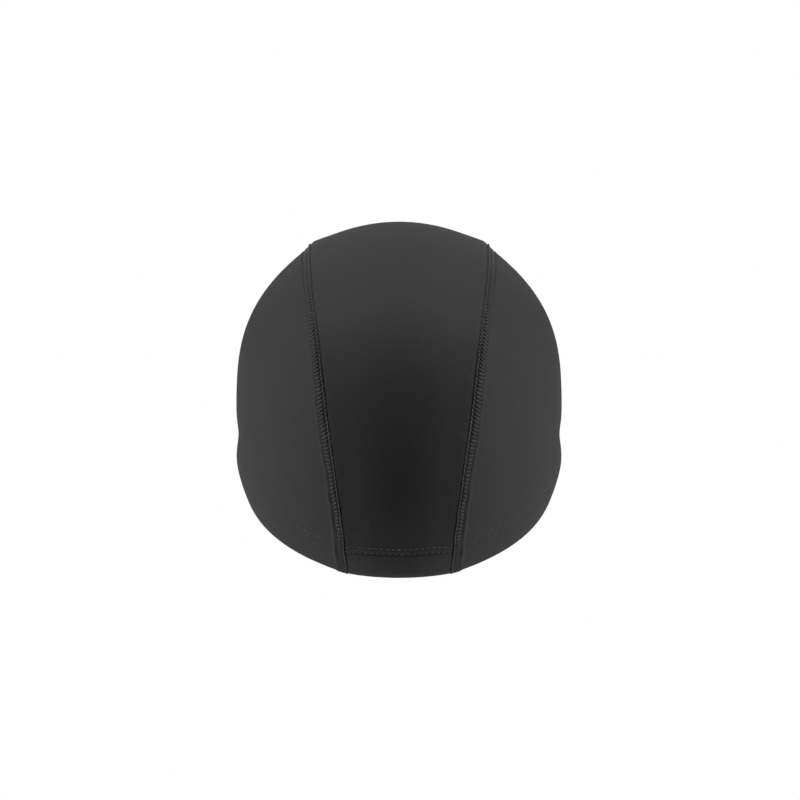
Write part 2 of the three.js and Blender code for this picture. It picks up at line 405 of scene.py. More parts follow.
def hem_relief(height, along):
    """The hem's puffed band, the groove of its lower stitch row and the faint one of its upper row."""
    below = HEM_ROWS[0] - 0.5 - height
    puff = HEM_PUFF * np.clip(height / 2.0, 0, 1) * (0.5 + 0.5 * np.tanh(below / 0.45))
    lower = -0.12 * bell(height - HEM_ROWS[0], 0.55)
    upper = -0.06 * bell(height - HEM_ROWS[1], 0.5)
    pull = 0.05 * np.sin(2 * np.pi * along / HEM_STITCH) * bell(height - 14.2, 2.0)
    ripple = 0.05 * np.sin(2 * np.pi * along / 17.0 + 0.8) * np.sin(2 * np.pi * along / 6.1)
    return puff + lower + upper + pull + ripple * bell(height - 8.0, 5.5)


def pucker(along, distance):
    """Uneven small waves that run out of a seam and die away from it."""
    wave = np.sin(2 * np.pi * (along + 0.5 * distance) / 5.7)
    wave = wave + 0.7 * np.sin(2 * np.pi * (along - 0.3 * distance) / 8.9 + 1.3)
    wave = wave + 0.5 * np.sin(2 * np.pi * along / 14.3 + 2.1)
    return wave * np.exp(-np.maximum(distance, 0) / 3.6)


def edge_dip(distance, radius):
    """How far a rounded edge has dropped, at a distance in from the edge."""
    inside = np.clip(1 - distance / radius, 0, 1)
    return radius * (1 - np.sqrt(1 - inside**2))


def crease_share(angle):
    """0 over the crown, where tight cloth closes the crease, and 1 where it is open near the hem."""
    return smooth_step(np.abs(angle - CREASE_TOP), *CREASE_OPENS)


def crease_gap(angle):
    return CREASE_GAP["closed"] + CREASE_GAP["more"] * crease_share(angle)


def crease_radius(angle):
    return CREASE_RADIUS["closed"] + CREASE_RADIUS["more"] * crease_share(angle)


print("hem rows above the edge, mm:", HEM_ROWS, " stitch, mm:", HEM_STITCH)

# %% [markdown]
# ## From a grid of points to a closed cloth
#
# Each piece of cloth is one closed mesh: an outer grid, an inner grid and walls along the cut edges.
# At the fold both grids meet, and merging the doubles there closes the lip. Rows are set close
# together near the fold, the stitches and the seams, where the form changes fast, and wider between.

# %% Mesh helpers
NEAR_HEM = np.array(
    [0, 0.02, 0.08, 0.2, 0.4, 0.65, 0.9, 1.3, 1.9, 2.7, 3.7, 4.8, 6, 7.2, 8.4, 9.6, 10.6, 11.3]
    + [11.8, 12.2, 12.5, 12.9, 13.3, 13.7, 14.1, 14.5, 14.9, 15.2, 15.5, 15.9, 16.5, 17.4]
)
NEAR_SEAM = np.array([0, 0.12, 0.3, 0.55, 0.9, 1.4, 2.0, 2.8, 3.8, 5.0])
MERGE = 2e-7


def places(length, start, end, count):
    """Distances from one end to the other: close rows at both ends and even ones between."""
    close = np.minimum(1, length / (2.4 * (start[-1] + end[-1])))
    share = np.linspace(0, 1, count + 2)[1:-1]
    length, close = np.atleast_1d(length), np.atleast_1d(close)
    low = start[:, None] * close
    high = length - end[::-1, None] * close
    between = low[-1] + (high[0] - low[-1]) * share[:, None]
    return np.concatenate([low, between, high])


def resample(samples, run, wanted):
    """Values of each column's samples at the wanted running lengths."""
    columns = [np.interp(wanted[:, j], run[:, j], samples[:, j]) for j in range(run.shape[1])]
    return np.stack(columns, 1)


def closed_cloth(name, outer, inner, cloth_uv, mirrored=False):
    """A closed mesh from matching outer and inner grids of points in mm round the head's middle."""
    rows, columns = outer.shape[:2]
    points = np.concatenate([outer.reshape(-1, 3), inner.reshape(-1, 3)]) - seat
    uv = np.concatenate([cloth_uv.reshape(-1, 2)] * 2)
    if mirrored:
        points = points * [-1, 1, 1]
    number = np.arange(rows * columns).reshape(rows, columns)
    under = number + rows * columns
    sheet = [number[:-1, :-1], number[1:, :-1], number[1:, 1:], number[:-1, 1:]]
    faces = [np.stack(sheet, -1).reshape(-1, 4)]
    faces.append(np.stack([a + rows * columns for a in sheet[::-1]], -1).reshape(-1, 4))
    for edge, below in (
        (number[:, 0][::-1], under[:, 0][::-1]),
        (number[:, -1], under[:, -1]),
        (number[0, :], under[0, :]),
        (number[-1, :][::-1], under[-1, :][::-1]),
    ):
        faces.append(np.stack([edge[:-1], below[:-1], below[1:], edge[1:]], -1)[:, ::-1])
    faces = np.concatenate(faces)
    if mirrored:
        faces = faces[:, ::-1]
    mesh = bpy.data.meshes.new(name)
    mesh.from_pydata((points * MM).tolist(), [], faces.tolist())
    layer = mesh.uv_layers.new(name="cloth_mm")
    loops = np.empty(len(mesh.loops), int)
    mesh.loops.foreach_get("vertex_index", loops)
    layer.data.foreach_set("uv", uv[loops].ravel().astype(np.float32))
    work = bmesh.new()
    work.from_mesh(mesh)
    bmesh.ops.remove_doubles(work, verts=work.verts, dist=MERGE)
    bmesh.ops.dissolve_degenerate(work, edges=work.edges, dist=MERGE)
    for face in work.faces:
        face.smooth = True
    open_edges = sum(1 for edge in work.edges if len(edge.link_faces) != 2)
    triangles = sum(len(face.verts) - 2 for face in work.faces)
    volume = work.calc_volume(signed=True) / MM**3 / 1000
    work.to_mesh(mesh)
    work.free()
    piece = bpy.data.objects.new(name, mesh)
    bpy.context.scene.collection.objects.link(piece)
    print(f"{name}: {triangles} triangles, {open_edges} open edges, {volume:.1f} cm3")
    return piece


# %% [markdown]
# ## The middle panel
#
# Lines run over the head from hem to hem at fixed shares of the width. Along each line the true
# length is measured, so the rows by the hem keep their distance in millimetres on every line.

# %% Middle panel
MIDDLE_ROWS = 210
EDGE_COLUMNS = np.array([0, 0.12, 0.3, 0.55, 0.9, 1.4, 2.0, 2.7, 3.5, 4.4, 5.5, 6.8, 8.2])
INNER_COLUMNS = 44


def middle_edge(angle):
    """Half the width of the middle panel."""
    to_crease = form_value(SEAM_HALF, angle) - crease_shift(angle) * ROLL_COSINE
    return to_crease - crease_gap(angle) / 2


def middle_line(angle, share):
    return middle_point(angle, share * middle_edge(angle))


def make_middle_panel():
    edge = 1 - EDGE_COLUMNS / half_at_crown
    inner = np.linspace(-edge[-1], edge[-1], INNER_COLUMNS + 2)[1:-1]
    shares = np.concatenate([-edge, inner, edge[::-1]])
    angles = hem_to_hem(lambda angle: middle_line(angle, shares), len(shares))
    run = lengths_along(middle_line(angles, shares))
    wanted = places(run[-1], NEAR_HEM, NEAR_HEM, MIDDLE_ROWS)
    angles = resample(angles, run, wanted)
    half = middle_edge(angles)
    x = shares * half
    point = middle_point(angles, x)
    normal = middle_normal(angles, np.clip(x, -half + STEP, half - STEP))
    height = np.maximum(above_hem(point, normal), 0)
    distance = (1 - np.abs(shares)) * half
    ends = lip_share(height)
    relief = hem_relief(height, x + 40) + 0.05 * pucker(wanted, distance)
    relief = relief * ends - edge_dip(distance, crease_radius(angles))
    outer = point + normal * (relief - LIP * (1 - ends))[..., None]
    inner = point - normal * (wall_at(height) - LIP * (1 - ends))[..., None]
    uv = np.stack([x, wanted], -1)
    print("middle panel length, mm:", run[-1].min().round(1), "to", run[-1].max().round(1))
    return closed_cloth("centre_panel_cloth", outer, inner, uv)


centre_cloth = make_middle_panel()

# %% [markdown]
# ## The side panels
#
# A side panel is a half-moon: its straight side is the hem and its round side the seam. Lines from
# the hem up to the seam fill it, and they close up to a point at both tips. The left panel is the
# right one mirrored, with its faces turned round so that they still point outwards.

# %% Side panels
NEAR_TIP = np.array([0, 0.15, 0.4, 0.8, 1.3, 1.9, 2.6, 3.4, 4.4, 5.6])
SIDE_ROWS = 62
SIDE_COLUMNS = 205
RIDGE = 0.12
NAPE_RIDGE = {"from": 112, "full": 124, "beyond": 0.8, "width": 0.9, "height": 0.2}


def side_lines(inset):
    """Hem to seam lines of a right side panel whose upper edge lies an inset from the seam line."""
    seam_at = lambda angle: beside_crease(angle, inset * widened(angle))[0]
    angles = hem_to_hem(seam_at, 1)
    run = lengths_along(seam_at(angles))
    along = places(run[-1], NEAR_TIP, NEAR_TIP, SIDE_COLUMNS)[:, 0]
    top = seam_at(np.interp(along, run[:, 0], angles[:, 0]))
    share = along / run[-1, 0]
    hem_y = top[0, 1] + (top[-1, 1] - top[0, 1]) * share
    low = np.stack([hem_y, hem_height(hem_y)], -1)
    return low, top[:, 1:], along


def make_side_panel(name, mirrored):
    low, top, along = side_lines(BAND_EDGE)
    t = np.linspace(0, 1, SAMPLES)[:, None, None]
    flat = low + (top - low) * t
    run = lengths_along(side_point(flat[..., 0], flat[..., 1]))
    run = run + 1e-9 * np.arange(SAMPLES)[:, None]
    wanted = places(run[-1], NEAR_HEM, NEAR_SEAM, SIDE_ROWS)
    y = resample(flat[..., 0], run, wanted)
    z = resample(flat[..., 1], run, wanted)
    point = side_point(y, z)
    normal = side_normal(y, z)
    height = np.maximum(above_hem(point, normal), 0)
    distance = np.maximum(from_band(y, z), 0)
    ends = lip_share(height)
    from_top = np.abs(angle_of(y, z) - CREASE_TOP)
    at_nape = smooth_step(from_top, NAPE_RIDGE["from"], NAPE_RIDGE["full"])
    beyond = distance - NAPE_RIDGE["beyond"]
    ridge = RIDGE * bell(distance, 1.1)
    ridge = ridge + at_nape * NAPE_RIDGE["height"] * bell(beyond, NAPE_RIDGE["width"])
    ridge = ridge * (1 + 0.25 * pucker(along, distance))
    in_hem = height - SIDE_HEM_MORE
    relief = hem_relief(in_hem, y + 100) + ridge + 0.07 * pucker(along + 3, distance)
    relief = relief * ends
    outer = point + normal * (relief - LIP * (1 - ends))[..., None]
    inner = point - normal * (wall_at(in_hem) - LIP * (1 - ends))[..., None]
    uv = np.stack([y, z], -1)
    print("side panel height, mm:", run[-1].max().round(1))
    return closed_cloth(name, outer, inner, uv, mirrored)


right_cloth = make_side_panel("right_side_cloth", False)
left_cloth = make_side_panel("left_side_cloth", True)

# %% [markdown]
# ## The seam bands
#
# The seams are flat-locked: the two cut edges lie side by side under a ladder of threads, so that
# nothing rubs the skin. The band of cloth edges is made first, as a low strip just outside the
# crease between the panels. Two troughs run along it where threads pull it down, one by the crease
# and a faint one near the outer edge, with a soft dent between them. The first comes nearer to the
# crease where that opens, beside the nape.

# %% Seam bands
RUNG_ENDS = (1.95, 2.9, 3.85)
OUTER_LINE = 5.0
SEAM_STITCH = 1.85
TROUGHS = [
    {"line": 1.7, "nearer": 0.35, "width": 0.6, "depth": 0.36},
    {"line": 4.2, "nearer": 0.0, "width": 0.4, "depth": 0.08},
]
RUNG_DENT = 0.08
BAND_END = 0.25
BAND_INSIDE = 0.2
BAND_ROUNDING = 0.5
BAND_SPACING = 0.6
BAND_COLUMNS = np.array(
    [0, 0.06, 0.16, 0.3, 0.55, 0.75, 0.95, 1.15, 1.4, 1.7, 1.95, 2.25, 2.6, 2.95, 3.3, 3.6]
    + [3.85, 4.1, 4.35, 4.6, 4.9, 5.1, 5.25, 5.4]
)


def band_lines(distances, spacing, near_end):
    """Rows of side-view angles along the seam for each distance from the seam line."""
    line_at = lambda angle: beside_crease(angle, distances * widened(angle))[0]
    angles = hem_to_hem(line_at, len(distances), -BAND_END)
    run = lengths_along(line_at(angles))
    count = int((run[-1].mean() - 2 * near_end[-1]) / spacing)
    wanted = places(run[-1], near_end, near_end, count)
    return resample(angles, run, wanted), wanted


def make_seam_band(name, mirrored):
    angles, along = band_lines(GAP / 2 + BAND_COLUMNS, BAND_SPACING, NEAR_HEM)
    near = crease_gap(angles) / 2
    across = (BAND_EDGE * widened(angles) - near) / SEAM_WIDTH
    point, normal = beside_crease(angles, near + BAND_COLUMNS * across)
    height = np.maximum(above_hem(point, normal) + BAND_END, 0)
    ends = lip_share(height)
    share = crease_share(angles)
    pulled = RUNG_DENT * bell(BAND_COLUMNS - RUNG_ENDS[1], 1.2)
    for trough in TROUGHS:
        line = trough["line"] - trough["nearer"] * share
        pulled = pulled + trough["depth"] * bell(BAND_COLUMNS - line, trough["width"])
    pulled = pulled * (0.75 + 0.25 * share)
    edge = RIDGE * bell(SEAM_WIDTH - BAND_COLUMNS, 1.1)
    below = HEM_ROWS[0] - 0.5 - height
    puff = HEM_PUFF * (0.5 + 0.5 * np.tanh(below / 0.45))
    relief = puff - pulled + edge + 0.03 * pucker(along, BAND_COLUMNS)
    relief = relief * ends - edge_dip(BAND_COLUMNS, BAND_ROUNDING * crease_radius(angles))
    outer = point + normal * (relief - LIP * (1 - ends))[..., None]
    depth = wall_at(height) + BAND_INSIDE * ends - LIP * (1 - ends)
    inner = point - normal * depth[..., None]
    uv = np.stack([BAND_COLUMNS + 0 * along, along], -1)
    print("seam length, mm:", along[-1].max().round(1))
    return closed_cloth(name, outer, inner, uv, mirrored)


right_band = make_seam_band("right_seam_band", False)
left_band = make_seam_band("left_seam_band", True)

# %% [markdown]
# ## One kind of stitch, sewn many times
#
# Every visible stitch is a short arc of thread whose two ends dive into the cloth. A Geometry Nodes
# tree bends one arc, gives it a round section that thins at the ends, and sets a copy on each point
# of a carrier mesh. The points say which way the stitch runs and which way is out of the cloth. A
# small random turn and size keep the row from looking printed. The hem's rows and every thread of
# the seams use this one tree with other lengths and thicknesses.

# %% Stitch tree
ARC_STEPS = 6
THREAD_SIDES = 6
END_THINNING = 0.35


def add_node(tree, kind, values=None, **settings):
    """A node with its settings made and its inputs set or linked."""
    node = tree.nodes.new(kind)
    for name, value in settings.items():
        setattr(node, name, value)
    for name, value in (values or {}).items():
        if isinstance(value, bpy.types.NodeSocket):
            tree.links.new(value, node.inputs[name])
        else:
            node.inputs[name].default_value = value
    return node


def maths(tree, operation, first, second=0.0, third=0.0):
    node = add_node(tree, "ShaderNodeMath", {0: first, 1: second, 2: third}, operation=operation)
    return node.outputs[0]


def build_stitch_tree():
    tree = bpy.data.node_groups.new("row of stitches", "GeometryNodeTree")
    tree.interface.new_socket("Geometry", in_out="INPUT", socket_type="NodeSocketGeometry")
    for name in ("Length", "Thickness", "Rise", "Sink", "Wander"):
        tree.interface.new_socket(name, in_out="INPUT", socket_type="NodeSocketFloat")
    tree.interface.new_socket("Seed", in_out="INPUT", socket_type="NodeSocketInt")
    tree.interface.new_socket("Material", in_out="INPUT", socket_type="NodeSocketMaterial")
    tree.interface.new_socket("Geometry", in_out="OUTPUT", socket_type="NodeSocketGeometry")
    given = add_node(tree, "NodeGroupInput").outputs

    half = maths(tree, "MULTIPLY", given["Length"], 0.5)
    back = maths(tree, "MULTIPLY", given["Length"], -0.5)
    deep = maths(tree, "MULTIPLY", given["Sink"], -1.0)
    high = maths(tree, "MULTIPLY_ADD", given["Rise"], 2.0, given["Sink"])
    start = add_node(tree, "ShaderNodeCombineXYZ", {"X": back, "Z": deep})
    middle = add_node(tree, "ShaderNodeCombineXYZ", {"Z": high})
    end = add_node(tree, "ShaderNodeCombineXYZ", {"X": half, "Z": deep})
    bend = {"Start": start.outputs[0], "Middle": middle.outputs[0], "End": end.outputs[0]}
    bend["Resolution"] = ARC_STEPS
    arc = add_node(tree, "GeometryNodeCurveQuadraticBezier", bend)
    radius = maths(tree, "MULTIPLY", given["Thickness"], 0.5)
    ring = add_node(tree, "GeometryNodeCurvePrimitiveCircle", {"Resolution": THREAD_SIDES, "Radius": radius})
    place = add_node(tree, "GeometryNodeSplineParameter").outputs["Factor"]
    from_middle = maths(tree, "MULTIPLY_ADD", place, 2.0, -1.0)
    squared = maths(tree, "MULTIPLY", from_middle, from_middle)
    thinning = maths(tree, "MULTIPLY_ADD", squared, -END_THINNING, 1.0)
    stitch = add_node(
        tree,
        "GeometryNodeCurveToMesh",
        {"Curve": arc.outputs[0], "Profile Curve": ring.outputs[0], "Scale": thinning, "Fill Caps": True},
    )

    out = add_node(tree, "GeometryNodeInputNamedAttribute", {"Name": "out"}, data_type="FLOAT_VECTOR")
    along = add_node(tree, "GeometryNodeInputNamedAttribute", {"Name": "along"}, data_type="FLOAT_VECTOR")
    upright = add_node(tree, "FunctionNodeAlignRotationToVector", {"Vector": out.outputs[0]}, axis="Z")
    turned = add_node(
        tree,
        "FunctionNodeAlignRotationToVector",
        {"Rotation": upright.outputs[0], "Vector": along.outputs[0]},
        axis="X",
        pivot_axis="Z",
    )
    least = maths(tree, "MULTIPLY", given["Wander"], -1.0)
    chance = add_node(
        tree,
        "FunctionNodeRandomValue",
        {"Min": least, "Max": given["Wander"], "Seed": given["Seed"]},
        data_type="FLOAT",
    )
    swing = add_node(
        tree,
        "FunctionNodeAxisAngleToRotation",
        {"Axis": (0, 0, 1), "Angle": chance.outputs["Value"]},
    )
    rotation = add_node(
        tree,
        "FunctionNodeRotateRotation",
        {"Rotation": turned.outputs[0], "Rotate By": swing.outputs[0]},
        rotation_space="LOCAL",
    )
    size = maths(tree, "MULTIPLY_ADD", chance.outputs["Value"], 0.6, 1.0)
    copies = add_node(
        tree,
        "GeometryNodeInstanceOnPoints",
        {
            "Points": given["Geometry"],
            "Instance": stitch.outputs[0],
            "Rotation": rotation.outputs[0],
            "Scale": size,
        },
    )
    real = add_node(tree, "GeometryNodeRealizeInstances", {"Geometry": copies.outputs[0]})
    smooth = add_node(tree, "GeometryNodeSetShadeSmooth", {"Geometry": real.outputs[0]})
    coloured = add_node(
        tree, "GeometryNodeSetMaterial", {"Geometry": smooth.outputs[0], "Material": given["Material"]}
    )
    add_node(tree, "NodeGroupOutput", {"Geometry": coloured.outputs[0]})
    return tree


stitch_tree = build_stitch_tree()
print("stitch tree nodes:", len(stitch_tree.nodes))

# %% [markdown]
# ## Charcoal stretch tricot
#
# The cloth is a fine warp knit of polyamide and elastane. Its face shows narrow upright columns, each
# a chain of slanted loops, too fine to see from two metres but enough to blur every reflection. The
# height pattern follows the cloth's own millimetres. Short fibres at its surface catch light at
# grazing angles, which the sheen gives. Dye never takes quite evenly, so a slow noise shifts the
# colour a little and a fine one gives single yarns their own tone. The cut edges in a seam band show
# no smooth face, so they have less sheen, and their colour is painted darker, as painted shade from
# the threads over them. That makes the ladder of lighter threads stand out from the band.

# %% Cloth and thread materials
WALE = 0.62
COURSE = 0.48
LOOP_SLANT = 0.9
BUMP_DEPTH = 0.03


def linear(hex_text):
    """An sRGB colour, picked as on a screen, as the linear values that light works with."""
    parts = [int(hex_text[i : i + 2], 16) / 255 for i in (1, 3, 5)]
    return [c / 12.92 if c <= 0.04045 else ((c + 0.055) / 1.055) ** 2.4 for c in parts] + [1.0]


def new_material(name, roughness, sheen, sheen_roughness):
    material = bpy.data.materials.new(name)
    material.use_nodes = True
    tree = material.node_tree
    tree.nodes.clear()
    values = {"Roughness": roughness, "Sheen Weight": sheen, "Sheen Roughness": sheen_roughness}
    shader = add_node(tree, "ShaderNodeBsdfPrincipled", values)
    add_node(tree, "ShaderNodeOutputMaterial", {"Surface": shader.outputs[0]})
    return material, tree, shader


def uneven_colour(tree, shader, dark, light, slow_size, fine_size):
    """Colour that drifts slowly over the piece and changes a little from yarn to yarn."""
    place = add_node(tree, "ShaderNodeTexCoord").outputs["Object"]
    slow = add_node(tree, "ShaderNodeTexNoise", {"Vector": place, "Scale": 1 / slow_size, "Detail": 3.0})
    fine = add_node(tree, "ShaderNodeTexNoise", {"Vector": place, "Scale": 1 / fine_size, "Detail": 2.0})
    both = maths(tree, "ADD", slow.outputs[0], fine.outputs[0])
    share = maths(tree, "MULTIPLY_ADD", both, 1.4, -0.9)
    mixed = add_node(
        tree,
        "ShaderNodeMix",
        {"Factor": share, "A": linear(dark), "B": linear(light)},
        data_type="RGBA",
    )
    tree.links.new(mixed.outputs[2], shader.inputs["Base Color"])
    return fine.outputs[0]


def knit_height(tree):
    """Height of the knit face: upright columns of slanted loops, from the cloth's own millimetres."""
    cloth = add_node(tree, "ShaderNodeUVMap", uv_map="cloth_mm")
    split = add_node(tree, "ShaderNodeSeparateXYZ", {"Vector": cloth.outputs[0]})
    column = maths(tree, "DIVIDE", split.outputs["X"], WALE)
    in_column = maths(tree, "FRACT", column)
    off_middle = maths(tree, "ABSOLUTE", maths(tree, "SUBTRACT", in_column, 0.5))
    course = maths(tree, "DIVIDE", split.outputs["Y"], COURSE)
    slanted = maths(tree, "MULTIPLY_ADD", off_middle, LOOP_SLANT, course)
    loops = maths(tree, "SINE", maths(tree, "MULTIPLY", slanted, 2 * math.pi))
    rib = maths(tree, "SINE", maths(tree, "MULTIPLY", in_column, math.pi))
    return maths(tree, "MULTIPLY_ADD", loops, 0.35, rib)


def raise_surface(tree, shader, height, strength):
    values = {"Height": height, "Strength": strength, "Distance": BUMP_DEPTH * MM}
    bump = add_node(tree, "ShaderNodeBump", values)
    tree.links.new(bump.outputs[0], shader.inputs["Normal"])


def make_tricot(name, sheen, dark, light):
    material, tree, shader = new_material(name, 0.7, sheen, 0.5)
    fine = uneven_colour(tree, shader, dark, light, 0.009, 0.0005)
    raise_surface(tree, shader, maths(tree, "MULTIPLY_ADD", fine, 0.8, knit_height(tree)), 0.5)
    return material


def make_thread():
    material, tree, shader = new_material("charcoal_polyester_thread", 0.5, 0.1, 0.5)
    fine = uneven_colour(tree, shader, "#3E3E3F", "#505052", 0.012, 0.00025)
    place = add_node(tree, "ShaderNodeTexCoord").outputs["Object"]
    plies = add_node(
        tree,
        "ShaderNodeTexWave",
        {"Vector": place, "Scale": 1 / (6.3 * 0.3 * MM), "Distortion": 1.5},
        bands_direction="DIAGONAL",
    )
    raise_surface(tree, shader, maths(tree, "MULTIPLY_ADD", fine, 0.5, plies.outputs["Fac"]), 0.6)
    return material


tricot = make_tricot("charcoal_tricot", 0.1, "#171718", "#1D1D1E")
# The seam bands' cloth has less sheen and a darker colour, which is painted shade from the threads over it.
band_cloth_painted_shade = make_tricot("charcoal_tricot_seam_band_painted_shade", 0.05, "#111112", "#161617")
thread = make_thread()
panels = (centre_cloth, left_cloth, right_cloth)
bands = (left_band, right_band)
for piece in panels:
    piece.data.materials.append(tricot)
for piece in bands:
    piece.data.materials.append(band_cloth_painted_shade)
print("materials:", [material.name for material in bpy.data.materials])

# %% [markdown]
# ## Sewing helpers
#
# A row of stitches starts as a line of points on the cloth with its outward directions. Points are
# set along it at the stitch length, and each gets the direction to its neighbour. The nodes then
# turn the points into thread, and the result is kept as a plain mesh.

# %% Sewing helpers
def sewn_mesh(points, along, out, sizes, seed):
    """Plain mesh of stitches, one on each point; points are in mm round the head's middle."""
    carrier = bpy.data.meshes.new("carrier")
    carrier.from_pydata(((points - seat) * MM).tolist(), [], [])
    for name, values in (("along", along), ("out", out)):
        layer = carrier.attributes.new(name, "FLOAT_VECTOR", "POINT")
        layer.data.foreach_set("vector", values.ravel().astype(np.float32))
    row = bpy.data.objects.new("carrier", carrier)
    bpy.context.scene.collection.objects.link(row)
    modifier = row.modifiers.new("stitches", "NODES")
    modifier.node_group = stitch_tree
    inputs = dict(sizes, Seed=seed, Material=thread)
    for item in stitch_tree.interface.items_tree:
        if item.in_out == "INPUT" and item.name in inputs:
            modifier[item.identifier] = inputs[item.name]
    ready = row.evaluated_get(bpy.context.evaluated_depsgraph_get())
    mesh = bpy.data.meshes.new_from_object(ready)
    row.modifiers.remove(modifier)
    bpy.data.objects.remove(row)
    bpy.data.meshes.remove(carrier)
    return mesh


def thread_piece(name, meshes):
    """One piece from several rows of stitches."""
    work = bmesh.new()
    for mesh in meshes:
        work.from_mesh(mesh)
        bpy.data.meshes.remove(mesh)
    whole = bpy.data.meshes.new(name)
    work.to_mesh(whole)
    work.free()
    whole.materials.append(thread)
    piece = bpy.data.objects.new(name, whole)
    bpy.context.scene.collection.objects.link(piece)
    print(name, "triangles:", sum(len(face.vertices) - 2 for face in whole.polygons))
    return piece


def sizes(length, thickness, rise, sink, wander):
    """Sizes of a stitch in mm, and its random turn in degrees, as inputs of the stitch tree."""
    return {
        "Length": length * MM,
        "Thickness": thickness * MM,
        "Rise": rise * MM,
        "Sink": sink * MM,
        "Wander": math.radians(wander),
    }


def mirror(vectors):
    return vectors * [-1, 1, 1]


def places_on_line(points, normals, spacing):
    """Stitch middles, directions and outward directions along a line of points."""
    run = lengths_along(points)
    count = int(run[-1] / spacing)
    wanted = (np.arange(count) + 0.5) * run[-1] / count
    value_at = lambda at, values: np.stack([np.interp(at, run, row) for row in values.T], -1)
    ahead = value_at(wanted + 0.3, points)
    behind = value_at(wanted - 0.3, points)
    return value_at(wanted, points), unit(ahead - behind), unit(value_at(wanted, normals))


# %% [markdown]
# ## The ladder of a flat-lock seam
#
# A row of beads, which are short stitches of thread, runs along the crease. Beside it lie the rungs
# of the ladder, which slant towards the hem at the back of the head. Each rung dives into the cloth
# halfway, so that it shows as two beads with dark holes between them, and ends in a thin tail that
# lies flat up to the outer edge. Both faces of a real flat-lock seam are covered like this. Tight
# cloth sinks the rungs in places, most of all beside the nape, so a short table says how deep.

# %% Seam stitches
FIRST_STITCH = 2.2
SLANT = {"least": 0.15, "most": 1.4, "at": 157.0, "every": 24.0}
FROM_CREASE_TOP = [55, 70, 80, 93, 100, 106, 112, 116, 119, 121.5, 123.5, 129.5, 131.5, 134, 141]
LIFTS = [-0.25, -0.12, 0, -0.03, -0.12, -0.26, -0.36, -0.34, -0.26, -0.36, -0.54, -0.5, -0.64, -0.7, -0.66]
EDGE_FROM_TOP = [60, 82, 92, 98, 116, 122]
EDGE_LINES = [0.8, 0.7, 0.6, 0.45, 0.45, 0.5]
EDGE_LIFTS = [0.08, 0.12, 0, -0.2, -0.2, -0.05]
EDGE_SIZE = {"thickness": 0.6, "rise": 0.4}
RUNG_SIZE = {"thickness": 0.72, "rise": 0.3}
TAIL_SIZE = {"thickness": 0.55, "rise": 0.08}


def seam_places():
    """Side-view angles of the near ends, the middles and the far ends of all rungs of a ladder."""
    line_at = lambda angle: beside_crease(angle, BAND_EDGE / 2 * widened(angle))[0]
    angles = hem_to_hem(line_at, 1, samples=4 * SAMPLES)[:, 0]
    run = lengths_along(line_at(angles))
    at = np.arange(FIRST_STITCH, run[-1] - FIRST_STITCH, SEAM_STITCH)
    near = np.interp(at, run, angles)
    wave = 0.5 + 0.5 * np.cos(2 * math.pi * (near - SLANT["at"]) / SLANT["every"])
    slant = SLANT["least"] + (SLANT["most"] - SLANT["least"]) * wave
    return [np.interp(at + slant * share, run, angles) for share in (0, 0.5, 1)]


def band_place(angles, line, outside, lifts=(FROM_CREASE_TOP, LIFTS)):
    """A place on one face of the band; outside, tight cloth sinks the stitches in places."""
    point, normal = beside_crease(angles, GAP / 2 + line * widened(angles))
    lift = np.interp(np.abs(angles - CREASE_TOP), *lifts)
    if not outside:
        lift = 0 * lift - (WALL + BAND_INSIDE)
    return point + normal * lift[:, None], normal


def seam_stitches(outside):
    """Rows of (middles, directions, outward directions, sizes) of the right seam on one face."""
    here, halfway, there = seam_places()
    side = 1 if outside else -1
    edge = np.interp(np.abs(here - CREASE_TOP), EDGE_FROM_TOP, EDGE_LINES)
    at, out = band_place(here, edge, outside, (EDGE_FROM_TOP, EDGE_LIFTS))
    step = np.diff(at, axis=0)
    size = sizes(length=SEAM_STITCH * 0.72, sink=0.3, wander=4, **EDGE_SIZE)
    rows = [(at[:-1] + step / 2, unit(step), side * out[:-1], size)]
    crossings = (
        (here, RUNG_ENDS[0], halfway, RUNG_ENDS[1], RUNG_SIZE),
        (halfway, RUNG_ENDS[1], there, RUNG_ENDS[2], RUNG_SIZE),
        (there, RUNG_ENDS[2], there, OUTER_LINE, TAIL_SIZE),
    )
    for start, low, end, high, thickness in crossings:
        first, out = band_place(start, low, outside)
        second, _ = band_place(end, high, outside)
        across = second - first
        length = float(np.linalg.norm(across, axis=-1).mean())
        size = sizes(length=length + 0.2, sink=0.3, wander=7, **thickness)
        rows.append(((first + second) / 2, unit(across), side * out, size))
    return rows


def sew_seam(name, outside, mirrored, seed):
    meshes = []
    for number, (middle, along, out, size) in enumerate(seam_stitches(outside)):
        if mirrored:
            middle, along, out = mirror(middle), mirror(along), mirror(out)
        meshes.append(sewn_mesh(middle, along, out, size, seed + number))
    return thread_piece(name, meshes)


right_ladder = sew_seam("right_seam_threads", True, False, 11)
left_ladder = sew_seam("left_seam_threads", True, True, 31)
right_inside = sew_seam("right_seam_inside_threads", False, False, 51)
left_inside = sew_seam("left_seam_inside_threads", False, True, 71)

# %% [markdown]
# ## The hem's two rows
#
# A twin-needle machine closes the hem. Outside it leaves two rows of short straight stitches, 2.5 mm
# apart, and inside one thread zigzags between them and covers the cut edge. The sides' rows stand a
# little higher above the edge than the middle panel's, and their stitches sink deeper, because the
# cloth is tighter there.

# %% Hem stitches
HEM_THREAD = 0.5
HEM_RISES = ((-0.06, 0.12), (-0.26, -0.22))
OVER_BAND = 0.3
LINE_POINTS = 240


def centre_hem_line(height, bracket):
    shares = np.linspace(-0.995, 0.995, LINE_POINTS)

    def height_at(angle):
        point = middle_line(angle, shares)
        return above_hem(point, middle_normal(angle, point[..., 0] * 0.98))

    angle = find_angle(height_at, bracket, LINE_POINTS, height)
    point = middle_line(angle, shares)
    return point, middle_normal(angle, point[..., 0] * 0.98)


